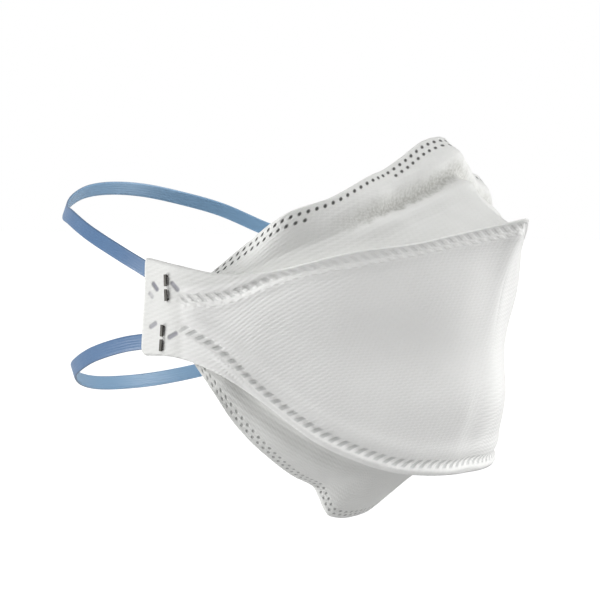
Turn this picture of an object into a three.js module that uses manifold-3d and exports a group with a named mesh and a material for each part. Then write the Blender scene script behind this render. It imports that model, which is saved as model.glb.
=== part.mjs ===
// Disposable flat-fold respirator, opened for wear: a centre panel with two end tabs, a nose panel and a
// chin panel welded to its seams, and two elastic headbands stapled to the tabs.
//
// Millimetres, +Z up. The wearer looks along -Y, so the face goes in from +Y, and +X is the wearer's left.
// Every shape is first laid out from the middle of the tab plane: "side" is the distance from the plane of
// symmetry, "forward" the distance in front of the tabs' free ends and "up" the height above the tabs' middle.
// The whole is then moved so that its origin is where it sits on the bridge of the nose.

import * as THREE from "three";
import Module from "manifold-3d";
import { mergeVertices } from "three/addons/utils/BufferGeometryUtils.js";

const wasm = await Module();
wasm.setup();

// ---- Driving dimensions ----------------------------------------------------------------------------

const CLOTH = 1.2; // thickness of the welded nonwoven layers
const GAP = 0.35; // clearance between pieces that are welded or stapled together
const STEPS_PER_STATION = 3; // mesh columns between two stations of a fold line
const FLANGE_STEPS = 2; // mesh rows on a flange
const BELLY_STEPS = 8; // mesh rows between the two seams of the centre panel
const SHELF_STEPS = 3; // mesh rows from the top seam to the crease of the nose panel
const WALL_STEPS = 4; // mesh rows from the crease to the upper edge of the nose panel
const CHIN_STEPS = 7; // mesh rows across the chin panel

// Fold lines, from the plane of symmetry round to the tab. The rows of one table stand on the same
// stations as the rows of the others: "turn" is the angle round the face, 0 in front and 90 at the tab.
const TOP_EDGE = [
  { turn: 0, side: 0, forward: 85.5, up: 24 },
  { turn: 7, side: 5, forward: 82.4, up: 22.8 },
  { turn: 15, side: 12, forward: 77.8, up: 21.1 },
  { turn: 22, side: 18.8, forward: 73.1, up: 19.3 },
  { turn: 30, side: 26, forward: 67.8, up: 17.5 },
  { turn: 45, side: 40, forward: 55.3, up: 15.2 },
  { turn: 60, side: 51.5, forward: 36.8, up: 10 },
  { turn: 70, side: 57.6, forward: 23.5, up: 9.1 },
  { turn: 80, side: 61.6, forward: 11.5, up: 11.4 },
  { turn: 90, side: 62, forward: 0, up: 13.5 },
];
const TOP_SEAM = [
  { turn: 0, side: 0, forward: 84, up: 20.8 },
  { turn: 7, side: 5, forward: 81, up: 20 },
  { turn: 15, side: 11.8, forward: 76.5, up: 18.7 },
  { turn: 22, side: 18.4, forward: 71.9, up: 17.3 },
  { turn: 30, side: 25.5, forward: 66.6, up: 15.5 },
  { turn: 45, side: 39.2, forward: 54.2, up: 12 },
  { turn: 60, side: 50.3, forward: 36, up: 7.8 },
  { turn: 70, side: 56.4, forward: 22.8, up: 2.8 },
  { turn: 80, side: 61.4, forward: 11, up: 1.9 },
  { turn: 90, side: 62, forward: -0.4, up: 1.6 },
];
const BOTTOM_SEAM = [
  { turn: 0, side: 0, forward: 66, up: -44 },
  { turn: 7, side: 8, forward: 65.7, up: -44.3 },
  { turn: 15, side: 16.4, forward: 63.8, up: -43.8 },
  { turn: 22, side: 23.1, forward: 60.5, up: -43.2 },
  { turn: 30, side: 29, forward: 55.9, up: -41.2 },
  { turn: 45, side: 40.6, forward: 44.6, up: -34.1 },
  { turn: 60, side: 50.8, forward: 31.2, up: -21.5 },
  { turn: 70, side: 57, forward: 21.9, up: -10.7 },
  { turn: 80, side: 61.5, forward: 11.2, up: -4.7 },
  { turn: 90, side: 62, forward: -1, up: -4.7 },
];
const BOTTOM_EDGE = [
  { turn: 0, side: 0, forward: 65, up: -47.6 },
  { turn: 7, side: 8, forward: 64.7, up: -47.5 },
  { turn: 15, side: 16.4, forward: 62.9, up: -47.1 },
  { turn: 22, side: 23.2, forward: 59.7, up: -46.3 },
  { turn: 30, side: 29.2, forward: 55.1, up: -44.5 },
  { turn: 45, side: 41, forward: 43.9, up: -37.5 },
  { turn: 60, side: 51.3, forward: 30.7, up: -25 },
  { turn: 70, side: 57.8, forward: 21.5, up: -17.9 },
  { turn: 80, side: 61.7, forward: 10.6, up: -14 },
  { turn: 90, side: 62, forward: -1.6, up: -13.9 },
];
// How far the centre panel swells out of the straight line between its seams, one, two and three quarters up.
const BELLY = [
  { turn: 0, lower: 4, middle: -0.6, upper: -2.2 },
  { turn: 7, lower: 3.2, middle: -0.5, upper: -1.3 },
  { turn: 15, lower: 1.5, middle: -0.9, upper: 0.1 },
  { turn: 22, lower: 0.2, middle: -1.6, upper: 0.4 },
  { turn: 30, lower: -0.8, middle: -2.1, upper: -0.1 },
  { turn: 45, lower: -1, middle: -1.6, upper: -0.2 },
  { turn: 60, lower: -0.6, middle: -0.7, upper: 0.3 },
  { turn: 70, lower: -0.5, middle: -0.4, upper: 0 },
  { turn: 80, lower: 0, middle: 0, upper: 0 },
  { turn: 90, lower: 0, middle: 0, upper: 0 },
];
// The nose panel runs back from the top seam to a crease, then stands up as a wall to its upper edge.
const NOSE_CREASE = [
  { turn: 0, side: 0, forward: 63.7, up: 35.7 },
  { turn: 7, side: 7, forward: 62.3, up: 32.6 },
  { turn: 15, side: 14.5, forward: 60.5, up: 29.7 },
  { turn: 22, side: 21.2, forward: 59, up: 27.7 },
  { turn: 30, side: 28, forward: 57.3, up: 25.2 },
  { turn: 45, side: 38.4, forward: 49.3, up: 20 },
  { turn: 60, side: 48.1, forward: 35.9, up: 14 },
  { turn: 70, side: 53.3, forward: 23.6, up: 7.9 },
  { turn: 80, side: 58, forward: 12.3, up: 4.1 },
];
const NOSE_EDGE = [
  { turn: 0, side: 0, forward: 56.2, up: 46.9 },
  { turn: 7, side: 7, forward: 54.9, up: 45.5 },
  { turn: 15, side: 14.5, forward: 53, up: 41 },
  { turn: 22, side: 20.5, forward: 51.4, up: 37.7 },
  { turn: 30, side: 27.5, forward: 51.4, up: 35.9 },
  { turn: 45, side: 39.5, forward: 47.3, up: 30.1 },
  { turn: 60, side: 49, forward: 39, up: 25.6 },
  { turn: 70, side: 50.4, forward: 26.2, up: 17.3 },
  { turn: 80, side: 54.6, forward: 15.2, up: 8.1 },
];
// The chin panel runs back under the chin from the bottom seam to its lower edge.
const CHIN_EDGE = [
  { turn: 0, side: 0, forward: 26.5, up: -56.4 },
  { turn: 7, side: 7, forward: 26, up: -56 },
  { turn: 15, side: 14, forward: 25.2, up: -54.3 },
  { turn: 22, side: 20.5, forward: 25.2, up: -51.8 },
  { turn: 30, side: 27, forward: 25.2, up: -49.2 },
  { turn: 45, side: 38.5, forward: 24.8, up: -42.5 },
  { turn: 60, side: 49.3, forward: 21.6, up: -32.9 },
  { turn: 70, side: 55.2, forward: 19.2, up: -24.2 },
  { turn: 80, side: 59, forward: 12.9, up: -13.5 },
];
// How far the nose panel's shelf and wall and the front and back thirds of the chin panel swell out of flat.
const SWELL = [
  { turn: 0, shelf: -1.2, wall: 2.4, chinFront: -3, chinBack: -0.3 },
  { turn: 7, shelf: -0.8, wall: 1.6, chinFront: -3, chinBack: -0.3 },
  { turn: 15, shelf: -0.3, wall: 0.8, chinFront: -2.8, chinBack: -0.2 },
  { turn: 22, shelf: 0, wall: 0.4, chinFront: -2.4, chinBack: 0 },
  { turn: 30, shelf: 0, wall: 0.4, chinFront: -2, chinBack: 0.3 },
  { turn: 45, shelf: 0, wall: 0.4, chinFront: -1.2, chinBack: 0.6 },
  { turn: 60, shelf: 0, wall: 0.4, chinFront: -0.6, chinBack: 0.6 },
  { turn: 70, shelf: 0, wall: 0.2, chinFront: 0, chinBack: 0.3 },
  { turn: 80, shelf: 0, wall: 0, chinFront: 0, chinBack: 0 },
];
const CHIN_TAB = { halfWidth: 14.5, drop: 6.5, corner: 4 }; // the pull tab in the middle of the chin edge

const BAND = { width: 4.4, thickness: 0.8, steps: 4 }; // elastic headband, and mesh steps between two rows
// Each headband goes from the wearer's right tab round the back of the head to the left one. "side" is
// negative on the right, and "lean" is how far the band's width leans from upright towards the front, in
// degrees.
const UPPER_BAND = [
  { side: -59.55, back: -10.2, up: 3.6, lean: 33 },
  { side: -59.65, back: -7.8, up: 4.9, lean: 33 },
  { side: -59.9, back: 0, up: 9.3, lean: 31 },
  { side: -59.4, back: 10.3, up: 13.8, lean: 29 },
  { side: -54.9, back: 26.8, up: 19.7, lean: 27 },
  { side: -47.4, back: 40.6, up: 24, lean: 25 },
  { side: -37, back: 52, up: 25.6, lean: 24 },
  { side: -26.3, back: 59.3, up: 28.6, lean: 24 },
  { side: -13.5, back: 64.3, up: 31.3, lean: 24 },
  { side: 0, back: 66, up: 32.3, lean: 24 },
  { side: 13.5, back: 64.3, up: 31.6, lean: 24 },
  { side: 26.3, back: 59.3, up: 29, lean: 24 },
  { side: 37, back: 52, up: 25.4, lean: 24 },
  { side: 47.4, back: 40.6, up: 18.8, lean: 25 },
  { side: 54.9, back: 26.8, up: 14, lean: 27 },
  { side: 59.4, back: 10.3, up: 11, lean: 29 },
  { side: 59.9, back: 0, up: 8.6, lean: 31 },
  { side: 59.65, back: -7.8, up: 4.9, lean: 33 },
  { side: 59.55, back: -10.2, up: 3.6, lean: 33 },
];
const LOWER_BAND = [
  { side: -59.9, back: -8.8, up: -8.4, lean: -14 },
  { side: -59.95, back: -6.2, up: -8.8, lean: -14 },
  { side: -60, back: 0, up: -9.8, lean: -16 },
  { side: -59.4, back: 9.7, up: -11.2, lean: -18 },
  { side: -54.9, back: 25.2, up: -14.8, lean: -20 },
  { side: -47.4, back: 38.2, up: -18.8, lean: -21 },
  { side: -37, back: 48.9, up: -21.9, lean: -22 },
  { side: -26.3, back: 55.7, up: -25, lean: -22 },
  { side: -13.5, back: 60.4, up: -27.1, lean: -22 },
  { side: 0, back: 62, up: -27.9, lean: -22 },
  { side: 13.5, back: 60.4, up: -27.6, lean: -22 },
  { side: 26.3, back: 55.7, up: -25.9, lean: -22 },
  { side: 37, back: 48.9, up: -23.2, lean: -22 },
  { side: 47.4, back: 38.2, up: -19.4, lean: -21 },
  { side: 54.9, back: 25.2, up: -15, lean: -20 },
  { side: 59.4, back: 9.7, up: -11.2, lean: -18 },
  { side: 60, back: 0, up: -9.8, lean: -16 },
  { side: 59.95, back: -6.2, up: -8.8, lean: -14 },
  { side: 59.9, back: -8.8, up: -8.4, lean: -14 },
];

const STAPLE = { width: 1, thickness: 0.45, corner: 0.1, span: 8.4, tipGap: 0.8, bend: 0.7, steps: 24 };
const STAPLES = [
  { name: "upper", forward: 7.8, up: 5.2, tilt: -2 },
  { name: "lower", forward: 6.2, up: -8.7, tilt: 5 },
];

const TAB_SIDE = 62; // outer face of each tab
const NOSE_SEAT = new THREE.Vector3(0, -(NOSE_EDGE[0].forward - CLOTH), NOSE_EDGE[0].up - 2); // on the nose

// ---- Materials -------------------------------------------------------------------------------------

const MATERIALS = {
  cover: new THREE.MeshStandardMaterial({ color: 0xe9e9e6, roughness: 0.95, metalness: 0 }),
  elastic: new THREE.MeshStandardMaterial({ color: 0x5b8cc4, roughness: 0.55, metalness: 0 }),
  steel: new THREE.MeshStandardMaterial({ color: 0x5a564e, roughness: 0.35, metalness: 1 }),
};

// ---- Helpers ---------------------------------------------------------------------------------------

const UP = new THREE.Vector3(0, 0, 1);

// Mirrors the rows of half a table to the other side and returns a smooth curve through all of them.
function acrossCurve(rows, place) {
  const half = rows.map(place);
  const other = half
    .slice(1)
    .reverse()
    .map((p) => new THREE.Vector3(-p.x, p.y, p.z));
  return new THREE.CatmullRomCurve3([...other, ...half], false, "centripetal");
}

const foldLine = (rows) => acrossCurve(rows, (r) => new THREE.Vector3(r.side, -r.forward, r.up));

// A column of a table as a function of the signed station, which counts rows from the plane of symmetry.
function columnOf(rows, name) {
  const spline = new THREE.CatmullRomCurve3(
    [...rows.slice(1).reverse(), ...rows].map((r, i) => new THREE.Vector3(i, r[name], 0)),
    false,
    "catmullrom",
  );
  return (station) => spline.getPoint(0.5 + (0.5 * station) / (rows.length - 1)).y;
}

// The point of a fold line at a signed station.
function at(line, station, rows) {
  return line.getPoint(THREE.MathUtils.clamp(0.5 + (0.5 * station) / (rows - 1), 0, 1));
}

// Level direction that points out of the respirator, square to a fold line.
function outward(line, station, rows) {
  const run = at(line, station + 0.05, rows).sub(at(line, station - 0.05, rows)).setZ(0);
  return new THREE.Vector3().crossVectors(run, UP).normalize();
}

function signedStations(last) {
  const count = 2 * last * STEPS_PER_STATION;
  return Array.from({ length: count + 1 }, (_, i) => -last + i / STEPS_PER_STATION);
}

// A third point between two, moved out by a swell along a direction.
const between = (a, b, share, out, swell) => a.clone().lerp(b, share).addScaledVector(out, swell);

// Points along a smooth section through the given points, with its own first and last.
function sectionPoints(points, steps) {
  return new THREE.CatmullRomCurve3(points, false, "centripetal").getPoints(steps);
}

// Sheet normals of a grid of points, one for each point.
function gridNormals(grid) {
  const pick = (i, j) => grid[THREE.MathUtils.clamp(i, 0, grid.length - 1)][j];
  return grid.map((column, i) =>
    column.map((_, j) => {
      const last = column.length - 1;
      const along = pick(i + 1, j).clone().sub(pick(i - 1, j));
      const across = column[Math.min(j + 1, last)].clone().sub(column[Math.max(j - 1, 0)]);
      return new THREE.Vector3().crossVectors(along, across).normalize();
    }),
  );
}

// A closed sheet: the grid is its outer face, and the inner face lies one thickness behind it.
function sheetGeometry(grid, thickness) {
  const normals = gridNormals(grid).flat();
  const columns = grid.length;
  const rows = grid[0].length;
  const outer = grid.flat();
  const inner = outer.map((p, k) => p.clone().addScaledVector(normals[k], -thickness));
  const behind = columns * rows;
  const index = [];
  const quad = (a, b, c, d) => index.push(a, b, c, a, c, d);
  const id = (i, j) => i * rows + j;
  for (let i = 0; i < columns - 1; i++) {
    for (let j = 0; j < rows - 1; j++) {
      quad(id(i, j), id(i + 1, j), id(i + 1, j + 1), id(i, j + 1));
      quad(behind + id(i, j), behind + id(i, j + 1), behind + id(i + 1, j + 1), behind + id(i + 1, j));
    }
  }
  const rim = (a, b) => quad(a, behind + a, behind + b, b);
  for (let i = 0; i < columns - 1; i++) {
    rim(id(i, 0), id(i + 1, 0));
    rim(id(i + 1, rows - 1), id(i, rows - 1));
  }
  for (let j = 0; j < rows - 1; j++) {
    rim(id(0, j + 1), id(0, j));
    rim(id(columns - 1, j), id(columns - 1, j + 1));
  }
  return new THREE.BufferGeometry().setFromPoints([...outer, ...inner]).setIndex(index);
}

function solidOf(geometry) {
  const bare = geometry.clone();
  bare.deleteAttribute("normal");
  bare.deleteAttribute("uv");
  const merged = mergeVertices(bare, 1e-4);
  return new wasm.Manifold(
    new wasm.Mesh({
      numProp: 3,
      vertProperties: merged.attributes.position.array,
      triVerts: new Uint32Array(merged.index.array),
    }),
  );
}

function geometryOf(solid) {
  const mesh = solid.getMesh();
  return new THREE.BufferGeometry()
    .setAttribute("position", new THREE.BufferAttribute(new Float32Array(mesh.vertProperties), 3))
    .setIndex(new THREE.BufferAttribute(new Uint32Array(mesh.triVerts), 1));
}

function piece(name, geometry, material) {
  const mesh = new THREE.Mesh(geometry, material);
  geometry.computeVertexNormals();
  mesh.name = name;
  return mesh;
}

// ---- The three panels ------------------------------------------------------------------------------

const ROWS = TOP_EDGE.length;
const lines = {
  topEdge: foldLine(TOP_EDGE),
  topSeam: foldLine(TOP_SEAM),
  bottomSeam: foldLine(BOTTOM_SEAM),
  bottomEdge: foldLine(BOTTOM_EDGE),
};
const belly = ["lower", "middle", "upper"].map((name) => columnOf(BELLY, name));

// The points of a flange beyond its seam, up to its edge.
function flangePoints(seam, edge) {
  return Array.from({ length: FLANGE_STEPS }, (_, k) => seam.clone().lerp(edge, (k + 1) / FLANGE_STEPS));
}

// One upright section of the centre panel, from its bottom edge to its top edge.
function centreSection(station) {
  const bottomEdge = at(lines.bottomEdge, station, ROWS);
  const bottomSeam = at(lines.bottomSeam, station, ROWS);
  const topSeam = at(lines.topSeam, station, ROWS);
  const topEdge = at(lines.topEdge, station, ROWS);
  const out = outward(lines.topSeam, station, ROWS);
  const swollen = belly.map((swell, k) => between(bottomSeam, topSeam, (k + 1) / 4, out, swell(station)));
  const middle = sectionPoints([bottomSeam, ...swollen, topSeam], BELLY_STEPS);
  return [...flangePoints(bottomSeam, bottomEdge).reverse(), ...middle, ...flangePoints(topSeam, topEdge)];
}

function centrePanel() {
  const grid = signedStations(ROWS - 1).map(centreSection);
  let solid = solidOf(sheetGeometry(grid, CLOTH));
  for (const hole of stapleHoles()) solid = solid.subtract(solidOf(hole));
  return geometryOf(solid);
}

// Where a panel that is welded inside a seam starts: behind the centre panel's cloth at that seam.
const behindSeam = (line, station) =>
  at(line, station, ROWS).addScaledVector(outward(line, station, ROWS), -(CLOTH + GAP));

function nosePanel() {
  const crease = foldLine(NOSE_CREASE);
  const edge = foldLine(NOSE_EDGE);
  const rows = NOSE_EDGE.length;
  const shelf = columnOf(SWELL, "shelf");
  const wall = columnOf(SWELL, "wall");
  const grid = signedStations(rows - 1).map((station) => {
    const root = behindSeam(lines.topSeam, station);
    const fold = at(crease, station, rows);
    const top = at(edge, station, rows);
    const out = outward(lines.topSeam, station, ROWS);
    const lift = out.clone().add(UP).normalize();
    return [
      ...sectionPoints([root, between(root, fold, 0.5, lift, shelf(station)), fold], SHELF_STEPS),
      ...sectionPoints([fold, between(fold, top, 0.5, out, wall(station)), top], WALL_STEPS).slice(1),
    ];
  });
  return sheetGeometry(grid, CLOTH);
}

// How far the pull tab lengthens the chin panel at a distance from the plane of symmetry.
function pullTabDrop(side) {
  const { halfWidth, drop, corner } = CHIN_TAB;
  return drop * (1 - THREE.MathUtils.smoothstep(Math.abs(side), halfWidth - corner, halfWidth + corner));
}

function chinPanel() {
  const edge = foldLine(CHIN_EDGE);
  const rows = CHIN_EDGE.length;
  const front = columnOf(SWELL, "chinFront");
  const back = columnOf(SWELL, "chinBack");
  const grid = signedStations(rows - 1).map((station) => {
    const root = behindSeam(lines.bottomSeam, station);
    const low = at(edge, station, rows);
    const out = outward(lines.bottomSeam, station, ROWS).sub(UP).normalize();
    const tip = low.clone().addScaledVector(UP, -pullTabDrop(low.x));
    const hollow = between(root, low, 0.32, out, front(station));
    const swollen = between(root, low, 0.6, out, back(station));
    return sectionPoints([root, hollow, swollen, tip], CHIN_STEPS).reverse();
  });
  return sheetGeometry(grid, CLOTH);
}

// ---- Headbands -------------------------------------------------------------------------------------

function headband(rows) {
  const curve = (points) => new THREE.CatmullRomCurve3(points, false, "centripetal");
  const path = curve(rows.map((r) => new THREE.Vector3(r.side, r.back, r.up)));
  const leans = curve(rows.map((r, i) => new THREE.Vector3(i, r.lean, 0)));
  const count = (rows.length - 1) * BAND.steps;
  const sections = Array.from({ length: count + 1 }, (_, i) => {
    const share = i / count;
    const centre = path.getPoint(share);
    const run = path.getPoint(Math.min(share + 1e-3, 1)).sub(path.getPoint(Math.max(share - 1e-3, 0)));
    const tilt = THREE.MathUtils.degToRad(leans.getPoint(share).y);
    const across = new THREE.Vector3(0, -Math.sin(tilt), Math.cos(tilt));
    across.addScaledVector(run.normalize(), -across.dot(run)).normalize();
    const out = new THREE.Vector3().crossVectors(across, run).normalize();
    const corner = (w, t) =>
      centre
        .clone()
        .addScaledVector(across, (w * BAND.width) / 2)
        .addScaledVector(out, (t * BAND.thickness) / 2);
    return [corner(-1, 1), corner(1, 1), corner(1, -1), corner(-1, -1)];
  });
  return ribbonGeometry(sections);
}

// A closed solid through a row of four-cornered sections.
function ribbonGeometry(sections) {
  const index = [];
  const quad = (a, b, c, d) => index.push(a, b, c, a, c, d);
  const id = (i, k) => i * 4 + (k % 4);
  for (let i = 0; i < sections.length - 1; i++) {
    for (let k = 0; k < 4; k++) quad(id(i, k), id(i, k + 1), id(i + 1, k + 1), id(i + 1, k));
  }
  const last = sections.length - 1;
  quad(id(0, 0), id(0, 3), id(0, 2), id(0, 1));
  quad(id(last, 0), id(last, 1), id(last, 2), id(last, 3));
  return new THREE.BufferGeometry().setFromPoints(sections.flat()).setIndex(index);
}

// ---- Staples ---------------------------------------------------------------------------------------

const CLINCH_SIDE = TAB_SIDE + GAP + STAPLE.thickness / 2; // the bent legs lie on the outside of the tab
const BAND_SIDE = -UPPER_BAND[0].side; // how far out the bands lie at the staples
const CROWN_SIDE = BAND_SIDE - BAND.thickness / 2 - GAP - STAPLE.thickness / 2; // the crown holds the band down

// A staple's wire: in along one bent leg, through the tab, along the crown and out again.
function stapleGeometry() {
  const half = STAPLE.span / 2;
  const tip = STAPLE.tipGap / 2;
  const path = new THREE.CurvePath();
  const corners = [
    [CLINCH_SIDE, tip],
    [CLINCH_SIDE, half],
    [CROWN_SIDE, half],
    [CROWN_SIDE, -half],
    [CLINCH_SIDE, -half],
    [CLINCH_SIDE, -tip],
  ].map(([side, up]) => new THREE.Vector3(side, 0, up));
  const towards = (a, b) => a.clone().addScaledVector(b.clone().sub(a).normalize(), STAPLE.bend);
  let from = corners[0];
  for (let k = 1; k < corners.length - 1; k++) {
    const before = towards(corners[k], corners[k - 1]);
    const after = towards(corners[k], corners[k + 1]);
    path.add(new THREE.LineCurve3(from, before));
    path.add(new THREE.QuadraticBezierCurve3(before, corners[k], after));
    from = after;
  }
  path.add(new THREE.LineCurve3(from, corners.at(-1)));
  const flat = STAPLE.width / 2;
  const thin = STAPLE.thickness / 2;
  const corner = STAPLE.corner;
  const section = new THREE.Shape(
    [
      [flat, thin - corner],
      [flat - corner, thin],
      [corner - flat, thin],
      [-flat, thin - corner],
      [-flat, corner - thin],
      [corner - flat, -thin],
      [flat - corner, -thin],
      [flat, corner - thin],
    ].map(([x, y]) => new THREE.Vector2(x, y)),
  );
  return new THREE.ExtrudeGeometry(section, { steps: STAPLE.steps, bevelEnabled: false, extrudePath: path });
}

// Puts a geometry made at a staple's own middle on one of the tabs.
function onTab(geometry, staple, mirror) {
  const placed = geometry
    .rotateX(THREE.MathUtils.degToRad(staple.tilt))
    .translate(0, -staple.forward, staple.up);
  return mirror < 0 ? placed.rotateZ(Math.PI).translate(0, -2 * staple.forward, 0) : placed;
}

function stapleHoles() {
  const depth = TAB_SIDE - CROWN_SIDE;
  const slot = { long: STAPLE.width / 2 + 1.6 * GAP, high: STAPLE.thickness / 2 + 1.6 * GAP }; // half sizes
  return STAPLES.flatMap((staple) =>
    [-1, 1].flatMap((mirror) =>
      [-1, 1].map((leg) => {
        const hole = new THREE.CylinderGeometry(slot.high, slot.high, 2 * depth, 8);
        hole.rotateZ(Math.PI / 2).scale(1, slot.long / slot.high, 1).translate(TAB_SIDE, 0, (leg * STAPLE.span) / 2);
        return onTab(hole, staple, mirror);
      }),
    ),
  );
}

// ---- Assembly --------------------------------------------------------------------------------------

const respirator = new THREE.Group();
respirator.position.copy(NOSE_SEAT).negate();
respirator.add(
  piece("centre_panel", centrePanel(), MATERIALS.cover),
  piece("nose_panel", nosePanel(), MATERIALS.cover),
  piece("chin_panel", chinPanel(), MATERIALS.cover),
  piece("upper_headband", headband(UPPER_BAND), MATERIALS.elastic),
  piece("lower_headband", headband(LOWER_BAND), MATERIALS.elastic),
);
for (const staple of STAPLES) {
  for (const [side, mirror] of [["right", -1], ["left", 1]]) {
    const geometry = onTab(stapleGeometry(), staple, mirror);
    respirator.add(piece(`${staple.name}_staple_${side}`, geometry, MATERIALS.steel));
  }
}

export default respirator;
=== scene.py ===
"""Disposable flat-fold respirator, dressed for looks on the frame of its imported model.

Sizes in the tables are in millimetres from the middle of the tab plane, as in the part's own source:
"side" from the plane of symmetry, "forward" and "back" from the tabs' free ends, "up" from their middle.
Everything that reaches Blender is in metres, in the row frame.
"""

import logging
import math
from dataclasses import dataclass
from enum import Enum

import bpy
import numpy as np
from mathutils import Matrix, Vector, noise


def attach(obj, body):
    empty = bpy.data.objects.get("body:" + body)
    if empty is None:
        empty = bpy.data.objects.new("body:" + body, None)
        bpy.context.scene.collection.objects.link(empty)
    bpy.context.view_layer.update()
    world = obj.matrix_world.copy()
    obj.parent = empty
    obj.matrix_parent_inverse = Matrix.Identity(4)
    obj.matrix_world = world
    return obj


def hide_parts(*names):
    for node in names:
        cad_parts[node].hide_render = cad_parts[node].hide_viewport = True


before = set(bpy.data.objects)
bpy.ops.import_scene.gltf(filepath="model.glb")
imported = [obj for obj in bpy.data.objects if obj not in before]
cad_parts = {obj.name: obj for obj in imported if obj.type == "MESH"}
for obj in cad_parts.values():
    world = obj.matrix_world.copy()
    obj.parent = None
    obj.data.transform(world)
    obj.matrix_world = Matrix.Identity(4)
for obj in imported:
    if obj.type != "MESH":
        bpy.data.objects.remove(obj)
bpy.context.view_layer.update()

log = logging.getLogger("respirator")

MM = 0.001
SEAT = np.array([0.0, 55.0, -44.9])  # mm from the tables' own origin to the row frame's
BODY = "root"
TAB_ENDS = (10.0, 18.0)  # mm in front of the tables' origin between which the flat tab turns into cloth
TOP_ROW = 1.6  # mm from the top seam up to its row of welds, at the front
TOP_ROW_DROP = 1.5  # mm that the row comes down towards each tab
TOP_ROW_FALLS = (60.0, 82.0)  # mm along the seam from its middle, between which the row comes down
PRESSED_REACH = 3.0  # mm from a welded edge to the full thickness

Table = list[dict[str, float]]
Array = np.ndarray
Colour = tuple[float, float, float, float]
Span = tuple[float, float]
Object = bpy.types.Object
Material = bpy.types.Material
Socket = bpy.types.NodeSocket
Sockets = bpy.types.bpy_prop_collection


def rows(names: str, *values: tuple[float, ...]) -> Table:
    """Names the columns of a short table."""
    return [dict(zip(names.split(), row)) for row in values]


# ---- Fold lines, from the plane of symmetry round to the tab ---------

TOP_EDGE = rows(
    "side forward up",
    (0, 85.5, 24),
    (5, 82.4, 22.8),
    (12, 77.8, 21.1),
    (18.8, 73.1, 19.3),
    (26, 67.8, 17.5),
    (40, 55.3, 15.2),
    (51.5, 36.8, 10),
    (57.6, 23.5, 9.1),
    (61.6, 11.5, 11.4),
    (62, 0, 13.5),
)
TOP_SEAM = rows(
    "side forward up",
    (0, 84, 20.8),
    (5, 81, 20),
    (11.8, 76.5, 18.7),
    (18.4, 71.9, 17.3),
    (25.5, 66.6, 15.5),
    (39.2, 54.2, 12),
    (50.3, 36, 7.8),
    (56.4, 22.8, 2.8),
    (61.4, 11, 1.9),
    (62, -0.4, 1.6),
)
BOTTOM_SEAM = rows(
    "side forward up",
    (0, 66, -44),
    (8, 65.7, -44.3),
    (16.4, 63.8, -43.8),
    (23.1, 60.5, -43.2),
    (29, 55.9, -41.2),
    (40.6, 44.6, -34.1),
    (50.8, 31.2, -21.5),
    (57, 21.9, -10.7),
    (61.5, 11.2, -4.7),
    (62, -1, -4.7),
)
BOTTOM_EDGE = rows(
    "side forward up",
    (0, 65, -47.6),
    (8, 64.7, -47.5),
    (16.4, 62.9, -47.1),
    (23.2, 59.7, -46.3),
    (29.2, 55.1, -44.5),
    (41, 43.9, -37.5),
    (51.3, 30.7, -25),
    (57.8, 21.5, -17.9),
    (61.7, 10.6, -14),
    (62, -1.6, -13.9),
)
BELLY = rows(
    "lower middle upper",
    (4, -0.6, -2.2),
    (3.2, -0.5, -1.3),
    (1.5, -0.9, 0.1),
    (0.2, -1.6, 0.4),
    (-0.8, -2.1, -0.1),
    (-1, -1.6, -0.2),
    (-0.6, -0.7, 0.3),
    (-0.5, -0.4, 0),
    (0, 0, 0),
    (0, 0, 0),
)
NOSE_CREASE = rows(
    "side forward up",
    (0, 63.7, 35.7),
    (7, 62.3, 32.6),
    (14.5, 60.5, 29.7),
    (21.2, 59, 27.7),
    (28, 57.3, 25.2),
    (38.4, 49.3, 20),
    (48.1, 35.9, 14),
    (53.3, 23.6, 7.9),
    (58, 12.3, 4.1),
)
NOSE_EDGE = rows(
    "side forward up",
    (0, 56.2, 46.9),
    (7, 54.9, 45.5),
    (14.5, 53, 41),
    (20.5, 51.4, 37.7),
    (27.5, 51.4, 35.9),
    (39.5, 47.3, 30.1),
    (49, 39, 25.6),
    (50.4, 26.2, 17.3),
    (54.6, 15.2, 8.1),
)
CHIN_EDGE = rows(
    "side forward up",
    (0, 26.5, -56.4),
    (7, 26, -56),
    (14, 25.2, -54.3),
    (20.5, 25.2, -51.8),
    (27, 25.2, -49.2),
    (38.5, 24.8, -42.5),
    (49.3, 21.6, -32.9),
    (55.2, 19.2, -24.2),
    (59, 12.9, -13.5),
)
SWELL = rows(
    "shelf wall chinFront chinBack",
    (-1.2, 2.4, -3, -0.3),
    (-0.8, 1.6, -3, -0.3),
    (-0.3, 0.8, -2.8, -0.2),
    (0, 0.4, -2.4, 0),
    (0, 0.4, -2, 0.3),
    (0, 0.4, -1.2, 0.6),
    (0, 0.4, -0.6, 0.6),
    (0, 0.2, 0, 0.3),
    (0, 0, 0, 0),
)
UPPER_BAND = rows(
    "side back right_up left_up lean",
    (59.55, -10.2, 3.6, 3.6, 33),
    (59.65, -7.8, 4.9, 4.9, 33),
    (59.9, 0, 9.3, 8.6, 31),
    (59.4, 10.3, 13.8, 11, 29),
    (54.9, 26.8, 19.7, 14, 27),
    (47.4, 40.6, 24, 18.8, 25),
    (37, 52, 25.6, 25.4, 24),
    (26.3, 59.3, 28.6, 29, 24),
    (13.5, 64.3, 31.3, 31.6, 24),
    (0, 66, 32.3, 32.3, 24),
)
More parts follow.
